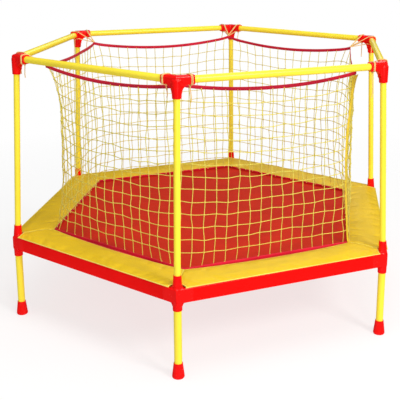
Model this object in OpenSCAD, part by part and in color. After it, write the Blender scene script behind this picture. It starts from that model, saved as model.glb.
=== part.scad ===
// A hexagonal trampoline for small children, with a net held inside a ring of posts.
// The origin is on the floor under the middle of the mat. Corner 1 is at -Y and the corners are
// counted anticlockwise from above. Side n runs from corner n to the next corner.

/* [Frame] */
// Distance from the middle to each leg's axis
ring_r = 900; // [860:5:960]
// Distance from the middle to each top corner's axis
top_r = 860; // [830:5:900]
// Height of the top ring's axis
top_z = 1134; // [1000:2:1300]
// Height of the middle of the base rail
rail_z = 336; // [300:1:400]

/* [Tubes] */
// Height of the base rail's section
rail_h = 58; // [50:1:60]
// Width of the base rail's section
rail_w = 38; // [34:1:40]
// Wall of the base rail
rail_wall = 2; // [1.5:0.5:3]
// Outside diameter of a leg
leg_d = 30; // [28:1:32]
// Outside diameter of a post
post_d = 25; // [22:1:26]
// Outside diameter of a top rail
top_rail_d = 28; // [26:1:30]
// Wall of the round tubes
tube_wall = 1.2; // [1:0.1:2]

/* [Connectors and feet] */
// Length of a top connector's arm, from the corner
top_arm_len = 64; // [60:1:76]
// Width of a top connector's arms and of the foot of its socket
top_socket_d = 34; // [33:1:36]
// Depth of a top connector's socket below the ring's axis
top_socket_len = 66; // [60:1:75]
// Length of a base connector's arm, from the corner
base_arm_len = 58; // [54:1:70]
// Height of a base connector's post socket above the rail's middle
up_socket_len = 79; // [74:1:86]
// Depth of a base connector's leg socket below the rail's middle
down_socket_len = 61; // [56:1:70]
// Height of a foot
foot_h = 60; // [55:1:80]
// Widest diameter of a foot
foot_d = 48; // [46:1:56]

/* [Jumping bed] */
// Distance from the middle to the mat's edge
mat_apothem = 672; // [668:1:674]
// Height of the mat's top
mat_top = 363; // [362:0.5:363.5]
// Springs on each side
springs_per_side = 6; // [4:1:6]
// Distance between springs
spring_pitch = 118; // [100:1:120]

/* [Pad and net] */
// Distance from the middle to the pad's inner edge
pad_inner = 645; // [644:1:648]
// Distance from the middle to the middle of the net
net_apothem = 640; // [636:1:640]
// Height of the upper hem's lower edge at a corner
hem_corner_z = 1086; // [1070:1:1092]
// How far the upper hem hangs down between corners
hem_sag = 32; // [0:1:60]
// Height of the upper hem's webbing
hem_h = 14; // [10:1:20]
// Height of the lower hem's webbing
foot_hem_h = 12; // [8:1:32]

/* [Hidden] */
CORNERS = [1:6];
$fn = 48;
// Radial clearance of a tube in its socket
fit = 0.1;
// Play between soft parts and what they lie on
gap = 0.4;
// Overlap that keeps cuts clean
cut = 1;
// Room past a tube's end in its socket
top_end_play = 2;
low_end_play = 1;

// Frame
lean = atan2(ring_r - top_r, top_z - rail_z);
slant_len = norm([ring_r - top_r, top_z - rail_z]);
rail_apothem = ring_r * cos(30);
top_apothem = top_r * cos(30);
rail_round = 5;
spigot_len = 35;
top_rail_inset = 24;
post_top_inset = 22;
post_seat = 39;
leg_seat = 20;
foot_floor = 12;

// Top connector
top_web = 30;
top_web_t = 26;
top_round = 8;
collar_w = 36;
collar_len = 8;
neck_d = 42;

// Base connector
up_base_z = 19;
up_base_d = 37.6;
up_top_d = 30.5;
down_d = 36;
down_neck_d = 37.8;
down_neck_z = 10;
down_web = 14;
up_web = 9;
up_web_t = 10;
up_web_out = 8;
base_web_t = 26;

// Foot
foot_top_d = 35;
foot_wide_z = 7;
foot_base_d = 42;

// Jumping bed
mat_t = 3;
binding_t = 5;
binding_z = mat_top - mat_t - binding_t;
binding_inner = 655;
binding_outer = 694;
eyelet_x = 684;
eyelet_bore = 8;
eyelet_wall = 0.9;
eyelet_flange_d = 15;
eyelet_flange_t = 1;
spring_z = binding_z + binding_t / 2;
wire_r = 1.2;
hook_r = 7;
spring_d = 11;
tab_hole_inset = 24.4;
tab_nose = 10;
tab_hole_x = rail_apothem - tab_hole_inset;
tab_tip_x = tab_hole_x - tab_nose;
tab_t = 3;
tab_w = 22;

// Pad
pad_overhang = 2;
pad_clear = 1;
pad_outer = rail_apothem + rail_w / 2 + pad_overhang;
pad_low = rail_z + rail_h / 2 + pad_clear;
pad_notch_in = 26.5;
pad_notch_half = 33;
pad_lip_h = 1;
pad_inner_h = 7;
pad_crown_w = 36;
pad_crown_h = 12;
pad_fall_w = 50;
pad_fall_h = 11;
pad_edge_w = 14;
pad_edge_h = 7;
pad_rim_h = 2;
pad_under_w = 6;

// Net
net_t = 3;
hem_t = 4;
hem_steps = 12;
strip_end_gap = 0.3;
net_half = (net_apothem - hem_t / 2) * tan(30) - strip_end_gap;
net_foot_z = mat_top + gap;
net_low_z = net_foot_z + foot_hem_h;
band_w = 16;
band_t = 2;
band_offset = 2;
band_top_drop = 8;
band_top_z = hem_corner_z - band_top_drop;
seam_corner = 2;

// Ties
cord_r = 2;
loop_in_w = top_socket_d + 2 * gap;
loop_out_w = loop_in_w + 4 * cord_r;
loop_at = 50;
knot_r = 4.5;
knot_drop = top_socket_d / 2 + knot_r + 2 * gap;
net_corner_reach = 4;
net_corner_r = net_apothem / cos(30) + net_corner_reach;
net_corner_z = hem_corner_z + hem_h + net_corner_reach;
tail_r = 1.8;
tail_sides = 8;
tail_lens = [64, 52, 40, 58, 98, 46, 48];
tail_drop = [0, 0.12, 0.3, 0.5, 0.72, 0.88, 1];
tail_sway = [0, 0.5, 2, 4, 5, 4, 2];

function corner_angle(n) = 60 * (n - 1) - 90;
function side_angle(n) = 60 * (n - 1) - 60;
function hem_z(t) = hem_corner_z - hem_sag * (1 - t * t);

// Outward is +X in a corner's own frame
module at_corner(n, r, z) {
    rotate([0, 0, corner_angle(n)]) translate([r, 0, z]) children();
}

// Outward is +X and the side runs along +Y in a side's own frame
module at_side(n, x, z) {
    rotate([0, 0, side_angle(n)]) translate([x, 0, z]) children();
}

// Both arms of a corner, mirrored across its middle plane
module both_arms() {
    rotate([0, 0, 120]) children();
    mirror([0, 1, 0]) rotate([0, 0, 120]) children();
}

// Turns +Z to lie along +X
module lie_along_x() {
    rotate([0, 90, 0]) children();
}

module tube(d, wall, len) {
    difference() {
        cylinder(h = len, d = d);
        translate([0, 0, -cut]) cylinder(h = len + 2 * cut, d = d - 2 * wall);
    }
}

// Rounded rectangle in exact arcs
module rounded_rect(w, h, r) {
    square([w - 2 * r, h], center = true);
    square([w, h - 2 * r], center = true);
    for (x = [-1, 1], y = [-1, 1]) {
        translate([x * (w / 2 - r), y * (h / 2 - r)]) circle(r);
    }
}

// Concave web between an arm's underside and a socket of radius r, R deep, along +X
module web(r, size, thickness) {
    rotate([90, 0, 0]) linear_extrude(thickness, center = true) {
        difference() {
            translate([0, -size]) square([r + size, size]);
            translate([r + size, -size]) circle(size);
        }
    }
}

module post_axis() {
    rotate([0, -lean, 0]) children();
}

// One arm of a corner, of rounded section, cut at the corner's middle plane
module mitred_arm(len, w, h, r) {
    intersection() {
        rotate([0, 0, 120]) translate([-h, 0, 0]) rotate([90, 0, 90])
            linear_extrude(len + h) rounded_rect(w, h, r);
        translate([-2 * len, 0, -h]) cube([4 * len, 2 * len, 2 * h]);
    }
}

module mitred_arms(len, w, h, r) {
    mitred_arm(len, w, h, r);
    mirror([0, 1, 0]) mitred_arm(len, w, h, r);
}

module top_connector(n) {
    color("red") at_corner(n, top_r, top_z) difference() {
        union() {
            mitred_arms(top_arm_len, top_socket_d, top_socket_d, top_round);
            both_arms() translate([top_arm_len - collar_len, 0, 0]) rotate([90, 0, 90])
                linear_extrude(collar_len) rounded_rect(collar_w, collar_w, top_round + 1);
            both_arms() translate([0, 0, cut - top_socket_d / 2])
                web(top_socket_d / 2 - cut, top_web, top_web_t);
            post_axis() translate([0, 0, -top_socket_len])
                cylinder(h = top_socket_len, d1 = top_socket_d, d2 = neck_d);
        }
        both_arms() translate([top_rail_inset - top_end_play, 0, 0]) lie_along_x()
            cylinder(h = top_arm_len, d = top_rail_d + 2 * fit);
        post_axis() translate([0, 0, -top_socket_len - cut])
            cylinder(h = top_socket_len - post_top_inset + top_end_play + cut, d = post_d + 2 * fit);
    }
}

module top_rail(n) {
    color("gold") at_side(n, top_apothem, top_z)
        translate([0, top_rail_inset - top_r / 2, 0]) rotate([-90, 0, 0])
            tube(top_rail_d, tube_wall, top_r - 2 * top_rail_inset);
}

module post(n) {
    color("gold") at_corner(n, ring_r, rail_z) post_axis() translate([0, 0, post_seat])
        tube(post_d, tube_wall, slant_len - post_seat - post_top_inset);
}

module spigot() {
    translate([base_arm_len - cut, 0, 0]) rotate([90, 0, 90]) linear_extrude(spigot_len + cut)
        rounded_rect(
            rail_w - 2 * rail_wall - 2 * fit,
            rail_h - 2 * rail_wall - 2 * fit,
            rail_round - rail_wall
        );
}

module base_connector(n) {
    color("red") at_corner(n, ring_r, rail_z) difference() {
        union() {
            mitred_arms(base_arm_len, rail_w, rail_h, rail_round);
            both_arms() spigot();
            both_arms() translate([0, 0, cut - rail_h / 2]) web(down_d / 2 - cut, down_web, base_web_t);
            both_arms() translate([0, -up_web_out, 0]) mirror([0, 0, 1])
                translate([0, 0, cut - rail_h / 2]) web(down_d / 2, up_web, up_web_t);
            post_axis() translate([0, 0, up_base_z])
                cylinder(h = up_socket_len - up_base_z, d1 = up_base_d, d2 = up_top_d);
            translate([0, 0, -down_socket_len])
                cylinder(h = down_socket_len - down_neck_z, d1 = down_d, d2 = down_neck_d);
        }
        post_axis() translate([0, 0, post_seat - low_end_play])
            cylinder(h = up_socket_len, d = post_d + 2 * fit);
        translate([0, 0, -down_socket_len - cut])
            cylinder(h = down_socket_len - leg_seat + low_end_play + cut, d = leg_d + 2 * fit);
    }
}

module base_rail(n) {
    color("red") at_side(n, rail_apothem, rail_z) rotate([90, 0, 0])
        linear_extrude(ring_r - 2 * base_arm_len, center = true) difference() {
            rounded_rect(rail_w, rail_h, rail_round);
            rounded_rect(rail_w - 2 * rail_wall, rail_h - 2 * rail_wall, rail_round - rail_wall);
        }
}

module leg(n) {
    color("gold") at_corner(n, ring_r, foot_floor)
        tube(leg_d, tube_wall, rail_z - leg_seat - foot_floor);
}

module foot(n) {
    color("red") at_corner(n, ring_r, 0) difference() {
        rotate_extrude() polygon(concat(
            [[0, 0]],
            [for (a = [0:15:90]) [
                foot_base_d / 2 + (foot_d - foot_base_d) / 2 * sin(a),
                foot_wide_z * (1 - cos(a))
            ]],
            [[foot_top_d / 2, foot_h], [0, foot_h]]
        ));
        translate([0, 0, foot_floor - low_end_play]) cylinder(h = foot_h, d = leg_d + 2 * fit);
    }
}

// One place for each spring along a side
module each_spring(n, x, z) {
    for (i = [1:springs_per_side]) {
        at_side(n, x, z)
            translate([0, (i - (springs_per_side + 1) / 2) * spring_pitch, 0]) children();
    }
}

module rail_tabs() {
    tab_len = rail_apothem - rail_w / 2 - tab_tip_x;
    color("silver") for (n = CORNERS) each_spring(n, tab_tip_x, spring_z - tab_t / 2) difference() {
        translate([0, -tab_w / 2, 0]) cube([tab_len, tab_w, tab_t]);
        translate([tab_hole_x - tab_tip_x, 0, -cut]) cylinder(h = tab_t + 2 * cut, d = eyelet_bore);
    }
}

module hook() {
    rotate([90, 0, 0]) rotate_extrude() translate([hook_r, 0]) circle(wire_r, $fn = 16);
}

module springs() {
    first = eyelet_x + hook_r;
    last = tab_hole_x - hook_r;
    color("silver") for (n = CORNERS) each_spring(n, 0, spring_z) {
        translate([first, 0, 0]) hook();
        translate([last, 0, 0]) hook();
        translate([first + hook_r - wire_r, 0, 0]) lie_along_x()
            cylinder(h = last - first - 2 * hook_r + 2 * wire_r, d = spring_d);
    }
}

module hexagon(apothem, z, h) {
    translate([0, 0, z]) rotate([0, 0, 30]) cylinder(h = h, r = apothem / cos(30), $fn = 6);
}

module mat() {
    color("orangered") hexagon(mat_apothem, mat_top - mat_t, mat_t);
}

module mat_binding() {
    color("crimson") difference() {
        hexagon(binding_outer, binding_z, binding_t);
        hexagon(binding_inner, binding_z - cut, binding_t + 2 * cut);
        for (n = CORNERS) each_spring(n, eyelet_x, binding_z - cut)
            cylinder(h = binding_t + 2 * cut, d = eyelet_bore + 2 * eyelet_wall + 2 * fit);
    }
}

module mat_eyelets() {
    color("silver") for (n = CORNERS) each_spring(n, eyelet_x, binding_z - eyelet_flange_t) {
        difference() {
            union() {
                cylinder(h = binding_t + 2 * eyelet_flange_t, d = eyelet_bore + 2 * eyelet_wall);
                cylinder(h = eyelet_flange_t, d = eyelet_flange_d);
                translate([0, 0, binding_t + eyelet_flange_t])
                    cylinder(h = eyelet_flange_t, d = eyelet_flange_d);
            }
            translate([0, 0, -cut]) cylinder(h = binding_t + 4 * cut, d = eyelet_bore);
        }
    }
}

// One sixth of a ring, between two mitres
module wedge() {
    far = 2 * ring_r;
    linear_extrude(top_z) polygon([[0, 0], [far, -far * tan(30)], [far, far * tan(30)]]);
}

module safety_pad() {
    color("goldenrod") difference() {
        for (n = CORNERS) rotate([0, 0, side_angle(n)]) intersection() {
            rotate([90, 0, 0]) linear_extrude(2 * ring_r, center = true) polygon([
                [pad_inner, pad_low + pad_lip_h],
                [pad_inner, pad_low + pad_inner_h],
                [pad_inner + pad_crown_w, pad_low + pad_crown_h],
                [pad_outer - pad_fall_w, pad_low + pad_fall_h],
                [pad_outer - pad_edge_w, pad_low + pad_edge_h],
                [pad_outer, pad_low + pad_rim_h],
                [pad_outer, pad_low],
                [pad_inner + pad_under_w, pad_low]
            ]);
            wedge();
        }
        for (n = CORNERS) at_corner(n, ring_r, 0) linear_extrude(top_z) polygon([
            [-pad_notch_in, 0],
            [0, -pad_notch_half],
            [pad_notch_half, -pad_notch_half],
            [pad_notch_half, pad_notch_half],
            [0, pad_notch_half]
        ]);
    }
}

// A flat strip that stands on edge along each side; its outline is drawn in the side's own plane
module standing_strip(thickness) {
    for (n = CORNERS) at_side(n, net_apothem, 0) rotate([90, 0, 90])
        linear_extrude(thickness, center = true) children();
}

function hem_line(rise, direction) = [
    for (i = [0:hem_steps])
        let (t = direction * (2 * i / hem_steps - 1)) [t * net_half, hem_z(t) + rise]
];

module net() {
    color("khaki") standing_strip(net_t)
        polygon(concat([[net_half, net_low_z], [-net_half, net_low_z]], hem_line(0, 1)));
}

module net_upper_hem() {
    color("crimson") standing_strip(hem_t) polygon(concat(hem_line(0, 1), hem_line(hem_h, -1)));
}

module net_lower_hem() {
    color("crimson") standing_strip(hem_t)
        translate([-net_half, net_foot_z]) square([2 * net_half, foot_hem_h]);
}

module net_seam_band() {
    color("goldenrod") at_corner(seam_corner, net_apothem / cos(30) + band_offset, net_low_z)
        translate([0, -band_w / 2, 0]) cube([band_t, band_w, band_top_z - net_low_z]);
}

// A straight cord from one point to another
module cord_run(from, to) {
    run = to - from;
    translate(from) rotate([0, acos(run[2] / norm(run)), atan2(run[1], run[0])])
        cylinder(h = norm(run), r = cord_r, $fn = 16);
}

// A cord round each arm of a top connector, knotted below it and drawn in to the net's corner
module net_ties() {
    corner = [net_corner_r - top_r, 0, net_corner_z - top_z];
    knot = [loop_at * cos(120), loop_at * sin(120), -knot_drop];
    color("moccasin") for (n = CORNERS) at_corner(n, top_r, top_z) {
        for (side = [-1, 1]) scale([1, side, 1]) {
            rotate([0, 0, 120]) translate([loop_at, 0, 0]) lie_along_x()
                linear_extrude(2 * cord_r, center = true) difference() {
                    rounded_rect(loop_out_w, loop_out_w, top_round + gap + 2 * cord_r);
                    rounded_rect(loop_in_w, loop_in_w, top_round + gap);
                }
            translate(knot) sphere(knot_r, $fn = 24);
            cord_run(knot, corner);
        }
        translate(corner) sphere(knot_r, $fn = 24);
    }
}

// One ring of points round a hanging cord
function tail_ring(p) = [
    for (i = [0:tail_sides - 1])
        let (a = 360 * i / tail_sides) [p[0] + tail_r * cos(a), p[1] + tail_r * sin(a), p[2]]
];

module hanging_cord(route) {
    rings = len(route);
    sides = tail_sides;
    polyhedron(
        points = [for (p = route) each tail_ring(p)],
        faces = concat(
            [[for (i = [0:sides - 1]) i]],
            [[for (i = [sides - 1:-1:0]) (rings - 1) * sides + i]],
            [for (r = [0:rings - 2], i = [0:sides - 1]) [
                r * sides + i,
                (r + 1) * sides + i,
                (r + 1) * sides + (i + 1) % sides,
                r * sides + (i + 1) % sides
            ]]
        )
    );
}

module tie_tails() {
    start = [loop_at * cos(120), loop_at * sin(120), -knot_drop - knot_r - gap];
    color("moccasin") for (n = CORNERS) at_corner(n, top_r, top_z) for (side = [-1, 1]) {
        long = tail_lens[(2 * n + (side + 1) / 2) % len(tail_lens)];
        hanging_cord([
            for (i = [0:len(tail_drop) - 1])
                [start[0] + tail_sway[i] / 2, side * start[1] + tail_sway[i], start[2] - tail_drop[i] * long]
        ]);
    }
}

for (n = CORNERS) {
    top_connector(n);
    top_rail(n);
    post(n);
    base_connector(n);
    base_rail(n);
    leg(n);
    foot(n);
}
rail_tabs();
springs();
mat();
mat_binding();
mat_eyelets();
safety_pad();
net();
net_upper_hem();
net_lower_hem();
net_seam_band();
net_ties();
tie_tails();
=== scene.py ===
"""A hexagonal children's trampoline: the looks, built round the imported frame. Metres, +Z up."""
import math
import random

import bpy
import numpy as np
from mathutils import Matrix, Vector, noise


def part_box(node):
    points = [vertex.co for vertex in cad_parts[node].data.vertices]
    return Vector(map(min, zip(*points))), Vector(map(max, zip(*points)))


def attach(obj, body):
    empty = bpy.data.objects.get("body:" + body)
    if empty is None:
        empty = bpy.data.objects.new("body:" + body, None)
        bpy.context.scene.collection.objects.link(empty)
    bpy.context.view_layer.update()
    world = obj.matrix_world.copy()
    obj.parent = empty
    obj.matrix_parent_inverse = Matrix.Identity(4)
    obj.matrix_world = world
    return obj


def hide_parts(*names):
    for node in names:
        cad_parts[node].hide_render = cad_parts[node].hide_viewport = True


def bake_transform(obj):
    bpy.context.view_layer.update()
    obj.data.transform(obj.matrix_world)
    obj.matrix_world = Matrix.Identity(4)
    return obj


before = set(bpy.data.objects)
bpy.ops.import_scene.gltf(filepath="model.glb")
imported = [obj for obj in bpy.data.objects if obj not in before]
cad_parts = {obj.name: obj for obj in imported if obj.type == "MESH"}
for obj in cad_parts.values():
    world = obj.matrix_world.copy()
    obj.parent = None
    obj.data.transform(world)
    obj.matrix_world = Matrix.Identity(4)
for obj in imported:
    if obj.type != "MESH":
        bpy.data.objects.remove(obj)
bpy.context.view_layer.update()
SIDES = range(1, 7)
COS30 = math.cos(math.radians(30))
TAN30 = math.tan(math.radians(30))
UP = Vector((0, 0, 1))
rng = random.Random(7)


# ---------------------------------------------------------------- places, from the frame

def centre(node):
    lo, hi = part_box(node)
    return (lo + hi) / 2


def corner_dir(n):
    a = math.radians(60 * (n - 1) - 90)
    return Vector((math.cos(a), math.sin(a), 0))


def side_out(n):
    a = math.radians(60 * (n - 1) - 60)
    return Vector((math.cos(a), math.sin(a), 0))


def side_along(n):
    return UP.cross(side_out(n))


def next_side(n):
    return n % 6 + 1


RING_R = -centre("leg_1").y
RAIL_X = centre("base_rail_2").x
TOP_X = centre("top_rail_2").x
TOP_Z = centre("top_rail_2").z
TOP_R = TOP_X / COS30
MAT_LOW, MAT_TOP = (c.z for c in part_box("mat"))
MAT_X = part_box("mat")[1].x
BINDING_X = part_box("mat_binding")[1].x
BINDING_Z = centre("mat_binding").z
NET_HALF_THICK = 0.0015
NET_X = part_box("net")[1].x - NET_HALF_THICK
NET_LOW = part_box("net")[0].z
HEM_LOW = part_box("net")[1].z
HEM_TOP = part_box("net_upper_hem")[1].z
FOOT_HEM_LOW, FOOT_HEM_TOP = (c.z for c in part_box("net_lower_hem"))
PAD_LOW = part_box("safety_pad")[0].z
PAD_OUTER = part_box("safety_pad")[1].x
PAD_GAP = 0.005
PAD_INNER = NET_X + PAD_GAP
SPRING_Z = centre("springs").z
EYELET_INSET = 0.010
TAB_INSET = 0.0244
SPRING_IN_X = BINDING_X - EYELET_INSET
SPRING_OUT_X = RAIL_X - TAB_INSET


# ---------------------------------------------------------------- camera, light and floor

# angles in degrees, powers in watts
CAMERA_TURN = 7.8
CAMERA_DISTANCE = 4.093 * RING_R
CAMERA_HEIGHT = 1.807 * RING_R
CAMERA_PITCH = 14.05
CAMERA_YAW = 1.44
CAMERA_ROLL = 0.235
LENS_MM = 73.4
SENSOR_MM = 36.0
CAMERA_SHIFT = (-0.075, -0.15)
FLOOR_SIZE = 14.0
FLOOR_DROP = 0.0005
FLOOR_FADE_FROM = 1.3
FLOOR_FADE_TO = 3.4
WORLD_STRENGTH = 0.46
MIRRORED_WORLD = 0.06
FLOOR_GLOW = 0.72
KEY_POWER = 150
FRONT_POWER = 42
FILL_POWER = 7
RIM_POWER = 25
TOP_POWER = 36


def make_camera():
    data = bpy.data.cameras.new("camera")
    data.lens, data.sensor_width = LENS_MM, SENSOR_MM
    data.shift_x, data.shift_y = CAMERA_SHIFT
    data.clip_start, data.clip_end = 0.1, 60
    cam = bpy.data.objects.new("camera", data)
    turn = math.radians(CAMERA_TURN)
    place = Vector((math.sin(turn), -math.cos(turn), 0)) * CAMERA_DISTANCE + UP * CAMERA_HEIGHT
    heading = Matrix.Rotation(turn - math.radians(CAMERA_YAW), 4, "Z")
    tilt = Matrix.Rotation(math.radians(90 - CAMERA_PITCH), 4, "X")
    roll = Matrix.Rotation(math.radians(CAMERA_ROLL), 4, "Z")
    cam.matrix_world = Matrix.Translation(place) @ heading @ tilt @ roll
    bpy.context.scene.collection.objects.link(cam)
    bpy.context.scene.camera = cam


def area_light(name, place, target, size, power, colour=(1, 1, 1)):
    data = bpy.data.lights.new(name, "AREA")
    data.shape, data.size, data.energy, data.color = "DISK", size, power, colour
    lamp = bpy.data.objects.new(name, data)
    lamp.location = place
    lamp.rotation_euler = (Vector(target) - Vector(place)).to_track_quat("-Z", "Y").to_euler()
    bpy.context.scene.collection.objects.link(lamp)


def make_studio():
    """Pale surroundings, white behind the object and dimmer in reflections, with five lights and a floor."""
    scene = bpy.context.scene
    scene.view_settings.view_transform = "Standard"
    world = bpy.data.worlds.new("studio")
    world.use_nodes = True
    tree = world.node_tree
    surroundings = tree.nodes["Background"]
    surroundings.inputs["Color"].default_value = (1.0, 1.0, 1.0, 1)
    backdrop = tree.nodes.new("ShaderNodeBackground")
    backdrop.inputs["Color"].default_value = (1.0, 1.0, 1.0, 1)
    rays = tree.nodes.new("ShaderNodeLightPath")
    dimmed = tree.nodes.new("ShaderNodeMath")
    dimmed.operation = "MULTIPLY_ADD"
    dimmed.inputs[1].default_value = MIRRORED_WORLD - WORLD_STRENGTH
    dimmed.inputs[2].default_value = WORLD_STRENGTH
    tree.links.new(rays.outputs["Is Glossy Ray"], dimmed.inputs[0])
    tree.links.new(dimmed.outputs["Value"], surroundings.inputs["Strength"])
    choice = tree.nodes.new("ShaderNodeMixShader")
    tree.links.new(rays.outputs["Is Camera Ray"], choice.inputs["Fac"])
    tree.links.new(surroundings.outputs["Background"], choice.inputs[1])
    tree.links.new(backdrop.outputs["Background"], choice.inputs[2])
    tree.links.new(choice.outputs["Shader"], tree.nodes["World Output"].inputs["Surface"])
    scene.world = world
    middle = (0, 0, 0.6)
    area_light("key", (3.4, -3.2, 3.6), middle, 1.6, KEY_POWER, (1.0, 0.985, 0.96))
    area_light("front", (1.7, -4.3, 1.3), middle, 1.0, FRONT_POWER)
    area_light("fill", (-3.4, -2.6, 2.4), middle, 2.6, FILL_POWER)
    area_light("rim", (0.4, 3.6, 3.0), middle, 2.4, RIM_POWER)
    area_light("top", (0.2, -1.3, 3.6), (0, -0.7, 0.3), 2.2, TOP_POWER)
    bpy.ops.mesh.primitive_plane_add(size=FLOOR_SIZE, location=(0, 0, -FLOOR_DROP))
    floor = bpy.context.object
    floor.name = "floor"
    floor.data.materials.append(floor_paper())
    floor.visible_glossy = False


# ---------------------------------------------------------------- materials

class Shader:
    """A Principled material with a few helpers for procedural nodes on object coordinates."""

    def __init__(self, name, colour, roughness, metallic=0.0):
        self.mat = bpy.data.materials.new(name)
        self.mat.use_nodes = True
        self.tree = self.mat.node_tree
        self.bsdf = self.tree.nodes["Principled BSDF"]
        self.base = (*colour, 1)
        self.set("Base Color", self.base)
        self.set("Roughness", roughness)
        self.set("Metallic", metallic)
        self.coords = self.node("ShaderNodeTexCoord").outputs["Object"]

    def set(self, socket, value):
        self.bsdf.inputs[socket].default_value = value

    def node(self, kind, **values):
        made = self.tree.nodes.new(kind)
        for key, value in values.items():
            if key in made.inputs:
                made.inputs[key].default_value = value
            else:
                setattr(made, key, value)
        return made

    def link(self, a, b):
        self.tree.links.new(a, b)

    def noise(self, scale, detail=3.0, roughness=0.5, stretch=None):
        made = self.node("ShaderNodeTexNoise", Scale=scale, Detail=detail, Roughness=roughness)
        self.link(self.stretched(stretch) if stretch else self.coords, made.inputs["Vector"])
        return made.outputs["Fac"]

    def stretched(self, factors, turn=0.0):
        made = self.node("ShaderNodeMapping", Scale=factors, Rotation=(0, 0, turn))
        self.link(self.coords, made.inputs["Vector"])
        return made.outputs["Vector"]

    def wave(self, scale, direction, turn=0.0, profile="SIN", distortion=0.0):
        made = self.node(
            "ShaderNodeTexWave", Scale=scale, bands_direction=direction, wave_profile=profile,
            Distortion=distortion,
        )
        self.link(self.stretched((1, 1, 1), turn), made.inputs["Vector"])
        return made.outputs["Fac"]

    def maths(self, kind, a, b):
        made = self.node("ShaderNodeMath", operation=kind)
        for i, value in enumerate((a, b)):
            if isinstance(value, (int, float)):
                made.inputs[i].default_value = value
            else:
                self.link(value, made.inputs[i])
        return made.outputs["Value"]

    def ramp(self, fac, stops):
        made = self.node("ShaderNodeValToRGB")
        elements = made.color_ramp.elements
        while len(elements) < len(stops):
            elements.new(0.5)
        for element, (place, colour) in zip(elements, stops):
            element.position, element.color = place, (*colour, 1)
        self.link(fac, made.inputs["Fac"])
        return made.outputs["Color"]

    def colour(self, source):
        self.link(source, self.bsdf.inputs["Base Color"])

    def vary_colour(self, fac, amount):
        """Lets the base colour drift lighter and darker by amount."""
        dark = tuple(c * (1 - amount) for c in self.base[:3])
        light = tuple(min(1.0, c * (1 + amount)) for c in self.base[:3])
        self.colour(self.ramp(fac, [(0.3, dark), (0.7, light)]))

    def vary_roughness(self, fac, low, high):
        made = self.node("ShaderNodeMapRange")
        made.inputs["To Min"].default_value = low
        made.inputs["To Max"].default_value = high
        self.link(fac, made.inputs["Value"])
        self.link(made.outputs["Result"], self.bsdf.inputs["Roughness"])

    def bump(self, height, strength, distance):
        made = self.node("ShaderNodeBump", Strength=strength, Distance=distance)
        self.link(height, made.inputs["Height"])
        previous = self.bsdf.inputs["Normal"]
        if previous.is_linked:
            self.link(previous.links[0].from_socket, made.inputs["Normal"])
        self.link(made.outputs["Normal"], previous)


def floor_paper():
    """White paper lit softly from behind, which fades into the white surroundings away from the object."""
    pale = 1 - FLOOR_GLOW
    shader = Shader("floor_paper", (pale, pale, pale), 0.95)
    shader.vary_colour(shader.noise(1.5), 0.01)
    shader.set("Specular IOR Level", 0.0)
    shader.set("Emission Color", (1, 1, 1, 1))
    shader.set("Emission Strength", FLOOR_GLOW)
    away = shader.node("ShaderNodeVectorMath", operation="LENGTH")
    shader.link(shader.coords, away.inputs[0])
    fade = shader.node("ShaderNodeMapRange")
    fade.inputs["From Min"].default_value = FLOOR_FADE_FROM
    fade.inputs["From Max"].default_value = FLOOR_FADE_TO
    shader.link(away.outputs["Value"], fade.inputs["Value"])
    mix = shader.node("ShaderNodeMixShader")
    clear = shader.node("ShaderNodeBsdfTransparent")
    shader.link(fade.outputs["Result"], mix.inputs["Fac"])
    shader.link(shader.bsdf.outputs["BSDF"], mix.inputs[1])
    shader.link(clear.outputs["BSDF"], mix.inputs[2])
    shader.link(mix.outputs["Shader"], shader.tree.nodes["Material Output"].inputs["Surface"])
    return shader.mat


RED = (0.88, 0.002, 0.001)
CRIMSON = (0.55, 0.005, 0.030)
# a lighter copy of the crimson webbing for the lower hem and the mat's edge tape: painted light that lifts
# the shade they sit in under the net and the pad
SHADE_LIFTED_CRIMSON = (0.70, 0.007, 0.034)
YELLOW = (0.98, 0.78, 0.045)


def moulded_plastic(name, colour):
    """Glossy injection-moulded plastic: soft orange peel and faint flow marks."""
    shader = Shader(name, colour, 0.24)
    shader.set("Specular IOR Level", 0.24)
    shader.vary_colour(shader.noise(9, 4), 0.08)
    shader.vary_roughness(shader.noise(35, 5, 0.6), 0.20, 0.32)
    shader.bump(shader.noise(260, 2), 0.05, 0.0003)
    shader.bump(shader.noise(28, 2), 0.10, 0.0012)
    return shader.mat


def powder_coat(name, colour, roughness=0.28, specular=0.35):
    """Gloss powder coat on steel tube, with orange peel and light rubbing."""
    shader = Shader(name, colour, roughness)
    shader.set("Specular IOR Level", specular)
    shader.vary_colour(shader.noise(6, 4), 0.05)
    shader.vary_roughness(shader.noise(60, 4, 0.65), roughness - 0.05, roughness + 0.08)
    shader.bump(shader.noise(300, 2), 0.05, 0.0002)
    return shader.mat


def zinc_steel(name):
    shader = Shader(name, (0.62, 0.63, 0.65), 0.32, 1.0)
    shader.vary_colour(shader.noise(120, 5, 0.6), 0.18)
    shader.vary_roughness(shader.noise(240, 3), 0.25, 0.45)
    shader.bump(shader.noise(900, 2), 0.1, 0.0002)
    return shader.mat


WAVE_PITCH = 0.314  # metres between the crests of a wave texture of scale 1


def woven(name, colour, pitch, roughness, sheen=0.2, contrast=0.12, blotch=0.06):
    """Plain weave: two crossed waves a pitch apart, with lint and slow colour drift."""
    shader = Shader(name, colour, roughness)
    shader.set("Sheen Weight", sheen)
    shader.set("Sheen Roughness", 0.5)
    scale = WAVE_PITCH / pitch
    warp = shader.wave(scale, "X", 0.35)
    weft = shader.wave(scale, "Y", 0.35)
    weave = shader.maths("MULTIPLY", warp, weft)
    drift = shader.maths("MULTIPLY", shader.noise(5, 5, 0.6), 0.8)
    fine = shader.maths("ADD", drift, shader.maths("MULTIPLY", weave, 0.25))
    dark = tuple(c * (1 - contrast - blotch) for c in colour)
    light = tuple(min(1.0, c * (1 + contrast + blotch)) for c in colour)
    shader.colour(shader.ramp(fine, [(0.25, dark), (0.75, light)]))
    shader.bump(weave, 0.35, pitch * 0.25)
    return shader


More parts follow.
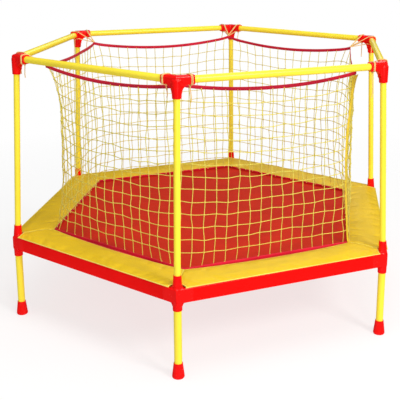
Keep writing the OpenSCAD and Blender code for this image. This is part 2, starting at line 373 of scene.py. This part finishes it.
def mat_fabric():
    shader = woven("mat_fabric", (0.60, 0.021, 0.004), 0.0022, 0.7, 0.0, 0.10, 0.06)
    shader.set("Specular IOR Level", 0.12)
    folds = shader.noise(3.2, 2, 0.4, (1.0, 7.0, 1.0))
    shader.bump(folds, 0.5, 0.004)
    return shader.mat


def webbing(name, colour):
    shader = woven(name, colour, 0.0016, 0.6, 0.05, 0.18, 0.08)
    shader.set("Specular IOR Level", 0.2)
    return shader.mat


PAD_GRAIN = 0.0012


def pad_cover():
    """Coated fabric: a fine cloth grain under a satin vinyl skin."""
    shader = Shader("pad_cover", (0.80, 0.53, 0.013), 0.45)
    shader.set("Specular IOR Level", 0.2)
    scale = WAVE_PITCH / PAD_GRAIN
    grain = shader.maths("MULTIPLY", shader.wave(scale, "X", 0.2), shader.wave(scale, "Y", 0.2))
    shader.vary_colour(shader.noise(4.5, 6, 0.62), 0.10)
    shader.vary_roughness(shader.noise(18, 4), 0.34, 0.52)
    shader.bump(grain, 0.25, 0.0004)
    shader.bump(shader.noise(22, 4, 0.55), 0.35, 0.003)
    return shader.mat


def twine(name, colour, turns):
    """Twisted twine: oblique strands with fluff."""
    shader = Shader(name, colour, 0.7)
    shader.set("Sheen Weight", 0.1)
    shader.set("Sheen Roughness", 0.5)
    shader.set("Specular IOR Level", 0.2)
    strand = shader.wave(turns, "DIAGONAL")
    fluff = shader.noise(160, 4, 0.7)
    both = shader.maths("ADD", shader.maths("MULTIPLY", strand, 0.5), shader.maths("MULTIPLY", fluff, 0.5))
    dark = tuple(c * 0.72 for c in colour)
    light = tuple(min(1.0, c * 1.2) for c in colour)
    shader.colour(shader.ramp(both, [(0.25, dark), (0.75, light)]))
    shader.bump(strand, 0.5, 0.0006)
    return shader.mat


# ---------------------------------------------------------------- mesh helpers

class Shape:
    """Collects tubes, ribbons and grids into one mesh."""

    def __init__(self):
        self.verts, self.faces = [], []

    def add(self, verts, faces):
        first = len(self.verts)
        self.verts += [tuple(v) for v in verts]
        self.faces += [[first + i for i in f] for f in faces]

    def rings(self, rings, closed=False, caps=True):
        """Joins rings of the same number of points, and closes the ends."""
        sides, count = len(rings[0]), len(rings)
        faces = []
        for r in range(count if closed else count - 1):
            a, b = r * sides, ((r + 1) % count) * sides
            faces += [[a + i, a + (i + 1) % sides, b + (i + 1) % sides, b + i] for i in range(sides)]
        if caps and not closed:
            faces.append(list(range(sides))[::-1])
            faces.append([(count - 1) * sides + i for i in range(sides)])
        self.add([p for ring in rings for p in ring], faces)

    def tube(self, points, radius, sides=6, closed=False):
        """A round tube along the points. radius is one number or one for each point."""
        pts = np.array([tuple(p) for p in points], float)
        radii = np.broadcast_to(np.asarray(radius, float), len(pts))
        if closed:
            tangents = np.roll(pts, -1, 0) - np.roll(pts, 1, 0)
        else:
            tangents = np.gradient(pts, axis=0)
        tangents /= np.linalg.norm(tangents, axis=1)[:, None] + 1e-12
        across = np.cross(tangents[0], (0.3, 0.2, 0.9))
        if np.linalg.norm(across) < 0.1:
            across = np.cross(tangents[0], (0.9, 0.1, 0.2))
        rings = []
        turns = np.arange(sides) * 2 * math.pi / sides
        for p, t, r in zip(pts, tangents, radii):
            across = across - t * across.dot(t)
            across /= np.linalg.norm(across)
            other = np.cross(t, across)
            rings.append(p + r * (np.cos(turns)[:, None] * across + np.sin(turns)[:, None] * other))
        self.rings(rings, closed)

    def ribbon(self, centres, outs, ups, width, thickness, closed=False):
        """A flat strip: outs point across its thickness and ups across its width."""
        widths = np.broadcast_to(np.asarray(width, float), len(centres))
        rings = []
        for c, o, u, w in zip(centres, outs, ups, widths):
            high = 0.5 - min(w * 0.12, thickness * 0.5) / w
            profile = [
                (0.5, high), (0.3, 0.5), (-0.3, 0.5), (-0.5, high),
                (-0.5, -high), (-0.3, -0.5), (0.3, -0.5), (0.5, -high),
            ]
            rings.append([c + o * (thickness * a) + u * (w * b) for a, b in profile])
        self.rings(rings, closed)

    def ball(self, place, radius, rows=5, sides=8, stretch=(1, 1, 1)):
        rings = []
        for i in range(1, rows):
            a = math.pi * i / rows
            rings.append([
                Vector(place) + Vector((
                    radius * math.sin(a) * math.cos(b) * stretch[0],
                    radius * math.sin(a) * math.sin(b) * stretch[1],
                    -radius * math.cos(a) * stretch[2],
                ))
                for b in (2 * math.pi * j / sides for j in range(sides))
            ])
        self.rings(rings)

    def build(self, name, material, slot, smooth=True):
        mesh = bpy.data.meshes.new(name)
        mesh.from_pydata(self.verts, [], self.faces)
        mesh.validate()
        obj = bpy.data.objects.new(name, mesh)
        bpy.context.scene.collection.objects.link(obj)
        mesh.materials.append(material)
        mesh.polygons.foreach_set("use_smooth", [smooth] * len(mesh.polygons))
        return obj


def smooth_path(points, steps=4, closed=False):
    """Catmull-Rom curve through the points."""
    pts = [Vector(p) for p in points]
    count = len(pts)
    made = []
    last = count if closed else count - 1
    for i in range(last):
        if closed:
            a, b, c, d = (pts[(i + k) % count] for k in (-1, 0, 1, 2))
        else:
            a, b = pts[max(i - 1, 0)], pts[i]
            c, d = pts[i + 1], pts[min(i + 2, count - 1)]
        for k in range(steps):
            t = k / steps
            made.append(0.5 * (
                2 * b + (c - a) * t + (2 * a - 5 * b + 4 * c - d) * t * t
                + (3 * b - a - 3 * c + d) * t ** 3
            ))
    if not closed:
        made.append(pts[-1])
    return made


def ease(t):
    t = min(max(t, 0.0), 1.0)
    return t * t * (3 - 2 * t)


# ---------------------------------------------------------------- ties and their tails

ARM_W = 0.034
LOOP_AT = 0.050
CORD_R = 0.0017
LOOP_HALF = ARM_W / 2 + CORD_R + 0.0003
KNOT_R = 0.0042
KNOT_DROP = 0.0223
WRAP_HALF_TURN = 135
WRAP_STEPS = 24
TAIL_R = 0.0018
TAIL_LENGTHS = [0.064, 0.052, 0.040, 0.058, 0.098, 0.046, 0.048]
TAIL_DROP = [0, 0.12, 0.3, 0.5, 0.72, 0.88, 1]
TAIL_SWAY = [0, 0.0005, 0.002, 0.004, 0.005, 0.004, 0.002]


def arm_frame(n, mirror):
    """Origin and directions of one arm of top connector n: along the arm, and out from the ring."""
    out = corner_dir(n)
    along = Matrix.Rotation(math.radians(120 * mirror), 3, "Z") @ out
    return out * TOP_R + UP * TOP_Z, along, along.cross(UP) * mirror


def net_corner(n):
    """Where the ties take hold of the net, just outside and above its corner."""
    return corner_dir(n) * (NET_X / COS30 + 0.004) + UP * (HEM_TOP + 0.004)


def make_tails(material):
    for n in SIDES:
        for mirror in (-1, 1):
            origin, along, _ = arm_frame(n, mirror)
            length = TAIL_LENGTHS[(2 * n + (mirror + 1) // 2) % len(TAIL_LENGTHS)]
            out, side = corner_dir(n), corner_dir(n).cross(UP) * -1
            start = origin + along * LOOP_AT - UP * (KNOT_DROP + KNOT_R)
            route = [
                start + out * (sway / 2) + side * sway - UP * (drop * length)
                for drop, sway in zip(TAIL_DROP, TAIL_SWAY)
            ]
            path = smooth_path(route, 5)
            shape = Shape()
            shape.tube(path, TAIL_R, 8)
            piece = shape.build(f"tie_tail_{n}_{'a' if mirror < 0 else 'b'}", material, "tie_cord")
            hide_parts("tie_tails")
            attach(piece, "frame")


def round_arm(origin, along, out, a, slide):
    """A point of a cord laid round the arm's rounded square section; a turns from out towards up."""
    c, d = math.cos(a), math.sin(a)
    reach = LOOP_HALF / (abs(c) ** 5 + abs(d) ** 5) ** 0.2
    return origin + along * slide + (out * c + UP * d) * reach


def make_ties(material):
    """Two turns of cord round each arm, knotted below it, whose strands are drawn in to the net's corner."""
    for n in SIDES:
        shape = Shape()
        inner = net_corner(n)
        for mirror in (-1, 1):
            origin, along, out = arm_frame(n, mirror)
            for k in (-1, 1):
                wrap = [inner + along * (0.0012 * k) + UP * 0.001]
                for i in range(WRAP_STEPS + 1):
                    turn = math.radians(WRAP_HALF_TURN * (1 - 2 * i / WRAP_STEPS))
                    slide = LOOP_AT - 0.004 + 0.0022 * k + 0.006 * math.cos(turn / 2) ** 2
                    wrap.append(round_arm(origin, along, out, turn, slide))
                wrap.append(inner + along * (0.0012 * k) - UP * 0.002)
                first = [wrap[0].lerp(wrap[1], t / 8) for t in range(8)]
                last = [wrap[-2].lerp(wrap[-1], t / 8) for t in range(1, 9)]
                shape.tube(first + wrap[1:-1] + last, CORD_R, 7)
            knot = origin + along * LOOP_AT - UP * KNOT_DROP
            shape.ball(knot, KNOT_R, 7, 12, (1.1, 1.0, 0.9))
        shape.ball(inner, KNOT_R * 1.1, 7, 12)
        piece = shape.build(f"net_tie_{n}", material, "tie_cord")
        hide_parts("net_ties")
        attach(piece, "frame")


# ---------------------------------------------------------------- the net

CELL = 0.05
HEM_SAG = 0.032
TAUT_SIDE, TAUT_SAG = 5, 0.012
SEAM_CORNER = 2
CORNER_ROUNDING = 0.40
SEAM_ROUNDING = 0.17
NET_HALF = NET_X * TAN30
COLUMNS = round(2 * NET_HALF / CELL)
ROWS = round((HEM_LOW - NET_LOW) / CELL)
TWINE_R = 0.0016
NET_KNOT_R = 0.0036
FOOT_KNOT_R = 0.0030
FOOT_INSET = 0.0035
KNOT_JITTER = 0.0030
SLACK_OUT, SLACK_ALONG = 0.010, 0.008
SEAM_FOOT = 0.0105
SEAM_WIDTH, SEAM_FLARE = 0.014, 0.030


def hem_z(n, s):
    return HEM_LOW - (TAUT_SAG if n == TAUT_SIDE else HEM_SAG) * (1 - s * s)


def net_point(n, s, u):
    """A point of side n's net: s runs from -1 to 1 along it, and u from 0 at the foot to 1 at the hem."""
    corner = next_side(n) if s > 0 else n
    most = SEAM_ROUNDING if corner == SEAM_CORNER else CORNER_ROUNDING
    radius = most * max(math.sin(math.pi * min(max(u, 0), 1)), 0) ** 0.55
    straight = NET_HALF - radius * TAN30
    run = abs(s) * (straight + radius * math.pi / 6)
    if run <= straight or radius < 1e-6:
        x, y = NET_X, run
    else:
        a = (run - straight) / radius
        x, y = NET_X - radius * (1 - math.cos(a)), straight + radius * math.sin(a)
    y = math.copysign(y, s)
    z = NET_LOW + u * (hem_z(n, s) - NET_LOW)
    slack = math.sin(math.pi * min(max(u, 0), 1)) ** 0.7
    point = side_out(n) * x + side_along(n) * y + UP * z
    drift = noise.noise_vector(point * 4.5 + Vector((n * 3.1, 0, 0)))
    sway = side_out(n) * (drift.x * SLACK_OUT * slack)
    return point + sway + side_along(n) * (drift.y * SLACK_ALONG * slack)


def net_knots():
    """Knot places on each side: a list of rows, each a list of points, jittered as hand-tied mesh is."""
    sides = {}
    for n in SIDES:
        grid = []
        for j in range(ROWS + 1):
            row = []
            for i in range(COLUMNS):
                s = -1 + 2 * (i + 0.5) / COLUMNS
                u = j / ROWS
                loose = 0 if j in (0, ROWS) else 1
                jitter = Vector([rng.uniform(-1, 1) * KNOT_JITTER * loose for _ in range(3)])
                row.append(net_point(n, s, u) + jitter)
            grid.append(row)
        sides[n] = grid
    return sides


def make_net(material):
    knots = net_knots()
    strings, balls = Shape(), Shape()
    for n in SIDES:
        grid = knots[n]
        for i in range(COLUMNS):
            column = [grid[j][i] for j in range(ROWS + 1)]
            foot = column[0] - UP * rng.uniform(0.002, 0.005) + side_along(n) * rng.uniform(-0.003, 0.003)
            inward = side_out(n) * -FOOT_INSET
            balls.ball(foot + inward, FOOT_KNOT_R, 4, 6)
            route = [foot + inward, column[0] + inward, *column[1:], column[-1] + UP * 0.004]
            strings.tube(smooth_path(route, 3), TWINE_R, 5)
            for j in range(1, ROWS):
                balls.ball(grid[j][i], NET_KNOT_R, 4, 6, (1, 1, 1.15))
    for j in range(1, ROWS):
        ring = [p for n in SIDES for p in knots[n][j]]
        strings.tube(smooth_path(ring, 3, closed=True), TWINE_R, 5, closed=True)
    strings.add(balls.verts, balls.faces)
    piece = strings.build("net_mesh", material, "net_string")
    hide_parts("net")
    return piece


def make_upper_hem(material):
    steps = 28
    centres, outs, ups = [], [], []
    for n in SIDES:
        for i in range(steps):
            s = -1 + 2 * i / steps
            pull = ease((abs(s) - 0.9) / 0.1)
            place = net_point(n, s, 1.0) + UP * (HEM_TOP - HEM_LOW) / 2
            out = side_out(n) if i else corner_dir(n)
            place += out * (0.003 * pull) + UP * (0.003 * pull)
            wave = 0.0025 * noise.noise(place * 9)
            centres.append(place + out * wave)
            outs.append(out)
            lean = 0.25 * noise.noise(place * 6 + Vector((5, 0, 0)))
            ups.append((UP + out * lean).normalized())
    shape = Shape()
    shape.ribbon(centres, outs, ups, HEM_TOP - HEM_LOW, 0.0032, closed=True)
    piece = shape.build("net_upper_hem_webbing", material, "webbing")
    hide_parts("net_upper_hem")
    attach(piece, "frame")


def make_lower_hem(material):
    steps = 36
    middle = (FOOT_HEM_LOW + FOOT_HEM_TOP) / 2
    centres, outs, ups = [], [], []
    for n in SIDES:
        for i in range(steps):
            s = -1 + 2 * i / steps
            out = side_out(n) if i else corner_dir(n)
            reach = NET_X if i else NET_X / COS30
            place = out * reach + UP * middle
            if i:
                place += side_along(n) * (s * NET_HALF)
            sway = 0.003 * noise.noise(place * 11) if i else 0
            lean = -0.25 + 0.3 * noise.noise(place * 7 + Vector((0, 4, 0)))
            centres.append(place + out * sway)
            outs.append(out)
            ups.append((UP + out * lean).normalized())
    shape = Shape()
    shape.ribbon(centres, outs, ups, FOOT_HEM_TOP - FOOT_HEM_LOW - 0.001, 0.003, closed=True)
    piece = shape.build("net_lower_hem_webbing", material, "webbing")
    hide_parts("net_lower_hem")
    return piece


def make_seam_band(material):
    """The webbing down the net's corner, which flares into the hem at its head."""
    out = corner_dir(SEAM_CORNER)
    side = UP.cross(out)
    steps = 40
    centres, outs, ups, widths = [], [], [], []
    for i in range(steps + 1):
        u = i / steps
        place = net_point(SEAM_CORNER, -1.0, u) + out * 0.0035
        place.z = NET_LOW - SEAM_FOOT + (HEM_LOW - NET_LOW + SEAM_FOOT) * u
        flare = ease((u - 0.86) / 0.14)
        centres.append(place)
        twist = 0.25 * noise.noise(place * 5)
        outs.append((out + side * twist).normalized())
        ups.append((side - out * twist).normalized())
        widths.append(SEAM_WIDTH + SEAM_FLARE * flare)
    shape = Shape()
    shape.ribbon(centres, outs, ups, widths, 0.0022)
    piece = shape.build("net_seam_webbing", material, "seam_webbing")
    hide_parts("net_seam_band")
    return piece


# ---------------------------------------------------------------- the pad

PAD_STEPS = 120
CLOTH_PRESSURE = 1.2
CLOTH_LOOSE = 0.012
CLOTH_FRAMES = 20
CLOTH_LIMIT = 0.0018
PAD_BOW = {1: 0.021, 6: 0.019, 2: 0.004, 5: 0.005, 3: 0.009, 4: 0.010}
PAD_SAG = 0.0018
PAD_END_SHARE = 0.72
NOTCH_IN = 0.0265
NOTCH_HALF = 0.033
MITRE_GAP = 0.0006
ROUND_OFF = 0.006
CREASE_REACH = 0.24
CREASE_FAN, CREASE_SLOW, CREASE_LONG = 0.0016, 0.0008, 0.0008
PIPING_R = 0.0019
MITRE_SEAM_R = 0.0015
PAD_ACROSS = 32
RING_COUNT = 2 * PAD_ACROSS
# share of the pad's width and thickness there, inner edge first
PAD_THICK = [(0.0, 0.0055), (0.03, 0.0070), (0.25, 0.0118), (0.68, 0.0108), (0.92, 0.0062), (1.0, 0.0025)]


def side_corner():
    return Vector((RING_R * COS30, RING_R / 2))


def notch_points():
    """The two ends of the notch's straight cut, in a side's own plane."""
    corner, out, along = side_corner(), Vector((COS30, 0.5)), Vector((-0.5, COS30))
    return corner - out * NOTCH_IN, corner - along * NOTCH_HALF


def pad_reach(x):
    """How far the pad runs along its side at distance x from the middle, up to the mitre or the notch."""
    near, far = notch_points()
    mitre = x * TAN30
    if x <= near.x:
        return mitre
    if x <= far.x:
        return near.y + (far.y - near.y) * (x - near.x) / (far.x - near.x)
    return far.y + (x - far.x) * TAN30


def pad_edge(n, t):
    """Distance of the pad's inner edge from the middle; it bows outward between the corners."""
    return PAD_INNER + PAD_BOW[n] * (1 - t * t) ** 0.8


def pad_height(f):
    """Thickness of the pad at share f of its width, inner edge first."""
    for (f0, h0), (f1, h1) in zip(PAD_THICK, PAD_THICK[1:]):
        if f <= f1:
            return h0 + (h1 - h0) * ease((f - f0) / (f1 - f0))
    return PAD_THICK[-1][1]


def pad_crease(n, x, y):
    """Height of the soft creases in the cover, deepest near the corners."""
    end = (pad_reach(x) - abs(y)) / CREASE_REACH
    near_corner = ease(1 - end)
    fan = math.atan2(side_corner().y - abs(y), side_corner().x - x + 0.05)
    spoke = noise.noise(Vector((fan * 5.5, n * 3.3 + math.copysign(2, y), 0)))
    slow = noise.noise(Vector((x * 9, y * 6, n)))
    long_folds = noise.noise(Vector((x * 38, y * 3.2, n * 1.7)))
    return CREASE_FAN * spoke * near_corner + CREASE_SLOW * slow + CREASE_LONG * long_folds


def pad_point(n, f, t, top, creased=True):
    start = pad_edge(n, t)
    x = start + f * (PAD_OUTER - start)
    y = t * (pad_reach(x) - MITRE_GAP)
    sag = PAD_SAG * (1 - t * t) * (1 - f)
    z = PAD_LOW + 0.0002 - sag
    if top:
        end = pad_reach(x) - abs(y)
        round_off = min(1, end / ROUND_OFF) ** 0.5
        height = pad_height(f) * (PAD_END_SHARE + (1 - PAD_END_SHARE) * round_off)
        z += height
        if creased:
            z += pad_crease(n, x, y) * round_off * min(1, f / 0.05, (1 - f) / 0.06)
    return side_out(n) * x + side_along(n) * y + UP * z


def pad_shape(n, creased):
    """One padded panel as rings of points across its width, upper face first."""
    shape = Shape()
    rings = []
    shares = [0.5 - 0.5 * math.cos(math.pi * (0.12 + 0.76 * k / PAD_ACROSS)) for k in range(PAD_ACROSS + 1)]
    shares = [(f - shares[0]) / (shares[-1] - shares[0]) for f in shares]
    for i in range(PAD_STEPS + 1):
        t = math.sin(math.pi / 2 * (-1 + 2 * i / PAD_STEPS))
        upper = [pad_point(n, f, t, True, creased) for f in shares]
        lower = [pad_point(n, f, t, False, creased) for f in reversed(shares[1:-1])]
        rings.append(upper + lower)
    shape.rings(rings)
    return shape


def reversed_rings(slack):
    """The same movements for a panel that is mirrored end to end."""
    rings = [slack[i:i + RING_COUNT] for i in range(0, len(slack), RING_COUNT)]
    return [d for ring in reversed(rings) for d in ring]


def cover_slack():
    """How far each point of a panel's cover moves when slightly loose cloth settles over the foam."""
    shape = pad_shape(2, False)
    trial = shape.build("cover_trial", bpy.data.materials.new("trial"), "pad_cover")
    held = trial.vertex_groups.new(name="held")
    start = [v.co.copy() for v in trial.data.vertices]
    last = len(start) // RING_COUNT - 1
    for i in range(len(start)):
        ring, place = divmod(i, RING_COUNT)
        fixed = ring in (0, last) or place == 0 or place >= PAD_ACROSS
        held.add([i], 1.0 if fixed else 0.0, "REPLACE")
    scene = bpy.context.scene
    cloth = trial.modifiers.new("cloth", "CLOTH")
    settings = cloth.settings
    settings.vertex_group_mass = "held"
    settings.quality = 6
    settings.mass = 0.15
    settings.tension_stiffness = settings.compression_stiffness = 18
    settings.shear_stiffness = 8
    settings.bending_stiffness = 0.4
    settings.use_pressure = True
    settings.uniform_pressure_force = CLOTH_PRESSURE
    settings.shrink_min = -CLOTH_LOOSE
    settings.effector_weights.gravity = 0
    cloth.collision_settings.use_collision = False
    scene.frame_start, scene.frame_end = 1, CLOTH_FRAMES
    for step in range(1, CLOTH_FRAMES + 1):
        scene.frame_set(step)
    settled = trial.evaluated_get(bpy.context.evaluated_depsgraph_get()).data.vertices
    moves = []
    for before, after in zip(start, settled):
        move = after.co - before
        moves.append(move * min(1, CLOTH_LIMIT / max(move.length, 1e-9)))
    scene.frame_set(1)
    bpy.data.objects.remove(trial)
    return moves


def make_pad(cover, piping):
    slack = cover_slack()
    for n in SIDES:
        shape = pad_shape(n, True)
        if slack is not None:
            mirror = Matrix.Diagonal((1, -1 if n % 2 else 1, 1))
            turn = Matrix.Rotation(math.radians(60 * (n - 2)), 3, "Z")
            order = reversed_rings(slack) if n % 2 else slack
            shape.verts = [
                tuple(Vector(v) + turn @ (mirror @ Vector(d))) for v, d in zip(shape.verts, order)
            ]
        piece = shape.build(f"pad_panel_{n}", cover, "pad_cover")
        piece.data.set_sharp_from_angle(angle=math.radians(60))
        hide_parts("safety_pad")
        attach(piece, "frame")
        make_piping(n, piping)


def make_piping(n, material):
    """Round piping along the pad's edges and down the notch, and the mitre's seam."""
    shape = Shape()
    count = 48
    shares = [math.sin(math.pi / 2 * (-1 + 2 * i / count)) for i in range(count + 1)]
    inner = [pad_point(n, 0, t, True) - side_out(n) * 0.0006 - UP * 0.0015 for t in shares]
    shape.tube(inner, PIPING_R, 8)
    outer = [pad_point(n, 1, t, True) - UP * 0.0004 - side_out(n) * 0.0016 for t in shares]
    shape.tube(outer, PIPING_R, 8)
    near, _ = notch_points()
    for mirror in (-1, 1):
        notch = []
        for i in range(15):
            x = near.x + (PAD_OUTER - near.x) * i / 14
            f = (x - PAD_INNER) / (PAD_OUTER - PAD_INNER)
            notch.append(pad_point(n, f, mirror, True) + UP * 0.0008 - side_along(n) * (mirror * 0.0012))
        shape.tube(notch, PIPING_R, 8)
    mitre = []
    for i in range(19):
        f = i / 18 * (near.x - PAD_INNER) / (PAD_OUTER - PAD_INNER)
        mitre.append(pad_point(n, f, 1, True) + UP * 0.0007)
    shape.tube(mitre, MITRE_SEAM_R, 8)
    piece = shape.build(f"pad_piping_{n}", material, "pad_cover")
    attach(piece, "frame")


# ---------------------------------------------------------------- the jumping bed and its springs

TAPE_X = 0.642
TAPE_THICK = 0.0011
MAT_EYE = 0.0004
MAT_FACE_DROP = 0.0007
BINDING_INNER = 0.655
BINDING_HALF = 0.0022
EYELET_R = 0.0058
EYELET_WIRE = 0.0013
EYELET_Z = 0.0029
SPRINGS_PER_SIDE = 6
SPRING_PITCH = 0.118
SPRING_TURNS = 17


def bed_blend(piece):
    """Bakes the piece's placement into its mesh."""
    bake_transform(piece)


def net_blend(piece):
    """Bakes the net piece's placement into its mesh."""
    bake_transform(piece)


def make_mat(material):
    steps = 30
    for n in SIDES:
        shape = Shape()
        top, bottom = [], []
        for j in range(steps + 1):
            x = MAT_EYE + (MAT_X - MAT_EYE) * j / steps
            row = []
            for i in range(steps + 1):
                y = x * TAN30 * (-1 + 2 * i / steps)
                p = side_out(n) * x + side_along(n) * y
                lift = 0.0006 * noise.noise(Vector((p.x * 3, p.y * 14, 0)))
                fade = ease((MAT_X - x) / 0.05)
                row.append(p + UP * (MAT_TOP - MAT_FACE_DROP + lift * fade))
            top.append(row)
            bottom.append([Vector((p.x, p.y, MAT_LOW)) for p in row])
        count = steps + 1
        verts = [p for row in top for p in row] + [p for row in bottom for p in row]
        base = count * count
        faces = []
        for j in range(steps):
            for i in range(steps):
                a, b, c, d = j * count + i, j * count + i + 1, (j + 1) * count + i + 1, (j + 1) * count + i
                faces.append([a, d, c, b])
                faces.append([base + a, base + b, base + c, base + d])
        for i in range(steps):
            a, b = steps * count + i, steps * count + i + 1
            faces.append([a, base + a, base + b, b])
            faces.append([i + 1, base + i + 1, base + i, i])
            left, right = i * count, i * count + steps
            faces.append([left, base + left, base + left + count, left + count])
            faces.append([right + count, base + right + count, base + right, right])
        shape.add(verts, faces)
        piece = shape.build(f"mat_sector_{n}", material, "mat_fabric")
        piece.data.set_sharp_from_angle(angle=math.radians(40))
        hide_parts("mat")
        bed_blend(piece)


def make_edge_tape(material):
    """Webbing sewn round the top of the mat's edge, seen where the pad bows away from it."""
    steps = 60
    outer = MAT_X - 0.0005
    for n in SIDES:
        shape = Shape()
        rings = []
        for i in range(steps + 1):
            t = -1 + 2 * i / steps
            lift = 0.0003 * noise.noise(Vector((t * 12, n * 2.5, 0)))
            ring = []
            for x, z in ((TAPE_X, 0.0), (outer, 0.0), (outer, TAPE_THICK), (TAPE_X, TAPE_THICK)):
                ring.append(side_out(n) * x + side_along(n) * (t * x * TAN30) + UP * (MAT_TOP + z + lift))
            rings.append(ring)
        shape.rings(rings)
        piece = shape.build(f"mat_edge_tape_{n}", material, "webbing", smooth=False)
        bed_blend(piece)


def spring_places(n):
    middle = (SPRINGS_PER_SIDE - 1) / 2
    return [side_along(n) * ((i - middle) * SPRING_PITCH) for i in range(SPRINGS_PER_SIDE)]


def make_binding(web, steel):
    """The webbing round the mat's edge, and two rims for each of its eyelets."""
    for n in SIDES:
        shape = Shape()
        rings = []
        steps = 40
        for i in range(steps + 1):
            t = -1 + 2 * i / steps
            ring = []
            for x, z in (
                (BINDING_INNER, BINDING_Z - BINDING_HALF), (BINDING_X, BINDING_Z - BINDING_HALF),
                (BINDING_X, BINDING_Z + BINDING_HALF), (BINDING_INNER, BINDING_Z + BINDING_HALF),
            ):
                ring.append(side_out(n) * x + side_along(n) * (t * x * TAN30) + UP * z)
            rings.append(ring)
        shape.rings(rings)
        piece = shape.build(f"mat_edge_{n}", web, "webbing", smooth=False)
        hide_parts("mat_binding")
        bed_blend(piece)
        eyelets = Shape()
        for along in spring_places(n):
            place = side_out(n) * SPRING_IN_X + along + UP * BINDING_Z
            for z in (-EYELET_Z, EYELET_Z):
                ring = [
                    place + UP * z + Vector((math.cos(a), math.sin(a), 0)) * EYELET_R
                    for a in (2 * math.pi * k / 20 for k in range(20))
                ]
                eyelets.tube(ring, EYELET_WIRE, 6, closed=True)
        piece = eyelets.build(f"mat_grommets_{n}", steel, "steel")
        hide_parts("mat_eyelets")
        bed_blend(piece)


def make_springs(steel):
    """Wound springs with a hook at each end, from the rail's tabs to the mat's grommets."""
    wire, coil_r, hook_r = 0.0011, 0.0046, 0.0066
    for n in SIDES:
        shape = Shape()
        out = side_out(n)
        for along in spring_places(n):
            def at(x, a, r):
                return out * x + along + UP * (SPRING_Z + r * math.cos(a)) + side_along(n) * (r * math.sin(a))
            first, last = SPRING_IN_X + 2 * hook_r, SPRING_OUT_X - 2 * hook_r
            per_turn = 10
            path = []
            for k in range(11):
                a = math.pi * (0.15 + 1.75 * k / 10)
                path.append(
                    out * (SPRING_IN_X + hook_r + hook_r * math.cos(a)) + along
                    + UP * (SPRING_Z + hook_r * math.sin(a))
                )
            for k in range(SPRING_TURNS * per_turn + 1):
                share = k / (SPRING_TURNS * per_turn)
                path.append(at(first + (last - first) * share, 2 * math.pi * k / per_turn, coil_r))
            for k in range(11):
                a = math.pi * (1.1 + 1.75 * k / 10)
                path.append(
                    out * (SPRING_OUT_X - hook_r + hook_r * math.cos(a)) + along
                    + UP * (SPRING_Z + hook_r * math.sin(a))
                )
            shape.tube(path, wire, 6)
        piece = shape.build(f"springs_{n}", steel, "steel")
        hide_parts("springs")
        bed_blend(piece)


# ---------------------------------------------------------------- moulded connectors and the tubes

MOULD_VOXEL = 0.0020
MOULD_PASSES = 3


def moulded_copy(node, name, material):
    """A CAD node's shape with its inside corners filleted and its edges eased, as a moulding has them."""
    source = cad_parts[node]
    mesh = source.data.copy()
    obj = bpy.data.objects.new(name, mesh)
    bpy.context.scene.collection.objects.link(obj)
    obj.matrix_world = Matrix.Identity(4)
    remesh = obj.modifiers.new("remesh", "REMESH")
    remesh.mode, remesh.voxel_size, remesh.use_smooth_shade = "VOXEL", MOULD_VOXEL, True
    ease_off = obj.modifiers.new("ease", "SMOOTH")
    ease_off.factor, ease_off.iterations = 0.5, MOULD_PASSES
    graph = bpy.context.evaluated_depsgraph_get()
    final = bpy.data.meshes.new_from_object(obj.evaluated_get(graph))
    obj.modifiers.clear()
    obj.data = final
    final.materials.clear()
    final.materials.append(material)
    return obj


def turned_copy(source, name, angle):
    """The same moulding at another corner."""
    mesh = source.data.copy()
    mesh.transform(Matrix.Rotation(angle, 4, "Z"))
    obj = bpy.data.objects.new(name, mesh)
    bpy.context.scene.collection.objects.link(obj)
    return obj


def make_mouldings(material):
    for kind, label in (("top_connector", "top_corner"), ("base_connector", "base_corner")):
        first = moulded_copy(f"{kind}_1", f"{label}_1", material)
        for n in SIDES:
            turn = math.radians(60 * (n - 1))
            piece = first if n == 1 else turned_copy(first, f"{label}_{n}", turn)
            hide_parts(f"{kind}_{n}")
            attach(piece, "frame")


def dress_nodes(looks):
    """Gives the carried-over CAD nodes their materials."""
    for name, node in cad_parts.items():
        for prefix, material in looks.items():
            if name.startswith(prefix):
                node.data.materials.clear()
                node.data.materials.append(material)
                node.data.polygons.foreach_set("use_smooth", [True] * len(node.data.polygons))


# ---------------------------------------------------------------- build

make_camera()
make_studio()
tie_material = twine("tie_cord", (0.95, 0.56, 0.20), 180)
make_tails(tie_material)
make_ties(tie_material)

plastic = moulded_plastic("red_plastic", RED)
steel = zinc_steel("zinc_steel")
crimson = webbing("crimson_webbing", CRIMSON)
# the lower hem and the edge tape get the lighter crimson copy, painted light against the shade under the net
# and the pad
shade_lifted_crimson = webbing("low_crimson_webbing", SHADE_LIFTED_CRIMSON)
make_mouldings(plastic)
dress_nodes({
    "top_rail": powder_coat("yellow_coat", YELLOW),
    "post": powder_coat("yellow_coat_post", YELLOW),
    "leg": powder_coat("yellow_coat_leg", YELLOW),
    "base_rail": powder_coat("red_coat", RED, 0.22, 0.12),
    "foot": moulded_plastic("red_foot", RED),
    "rail_tabs": steel,
})
make_upper_hem(crimson)
net_pieces = [
    make_net(twine("net_twine", (0.75, 0.63, 0.10), 220)),
    make_lower_hem(shade_lifted_crimson),
    make_seam_band(webbing("gold_webbing", (0.78, 0.55, 0.025))),
]
for net_piece in net_pieces:
    net_blend(net_piece)
make_pad(pad_cover(), webbing("pad_piping", (0.95, 0.74, 0.13)))
make_mat(mat_fabric())
make_edge_tape(shade_lifted_crimson)
make_binding(crimson, steel)
make_springs(steel)
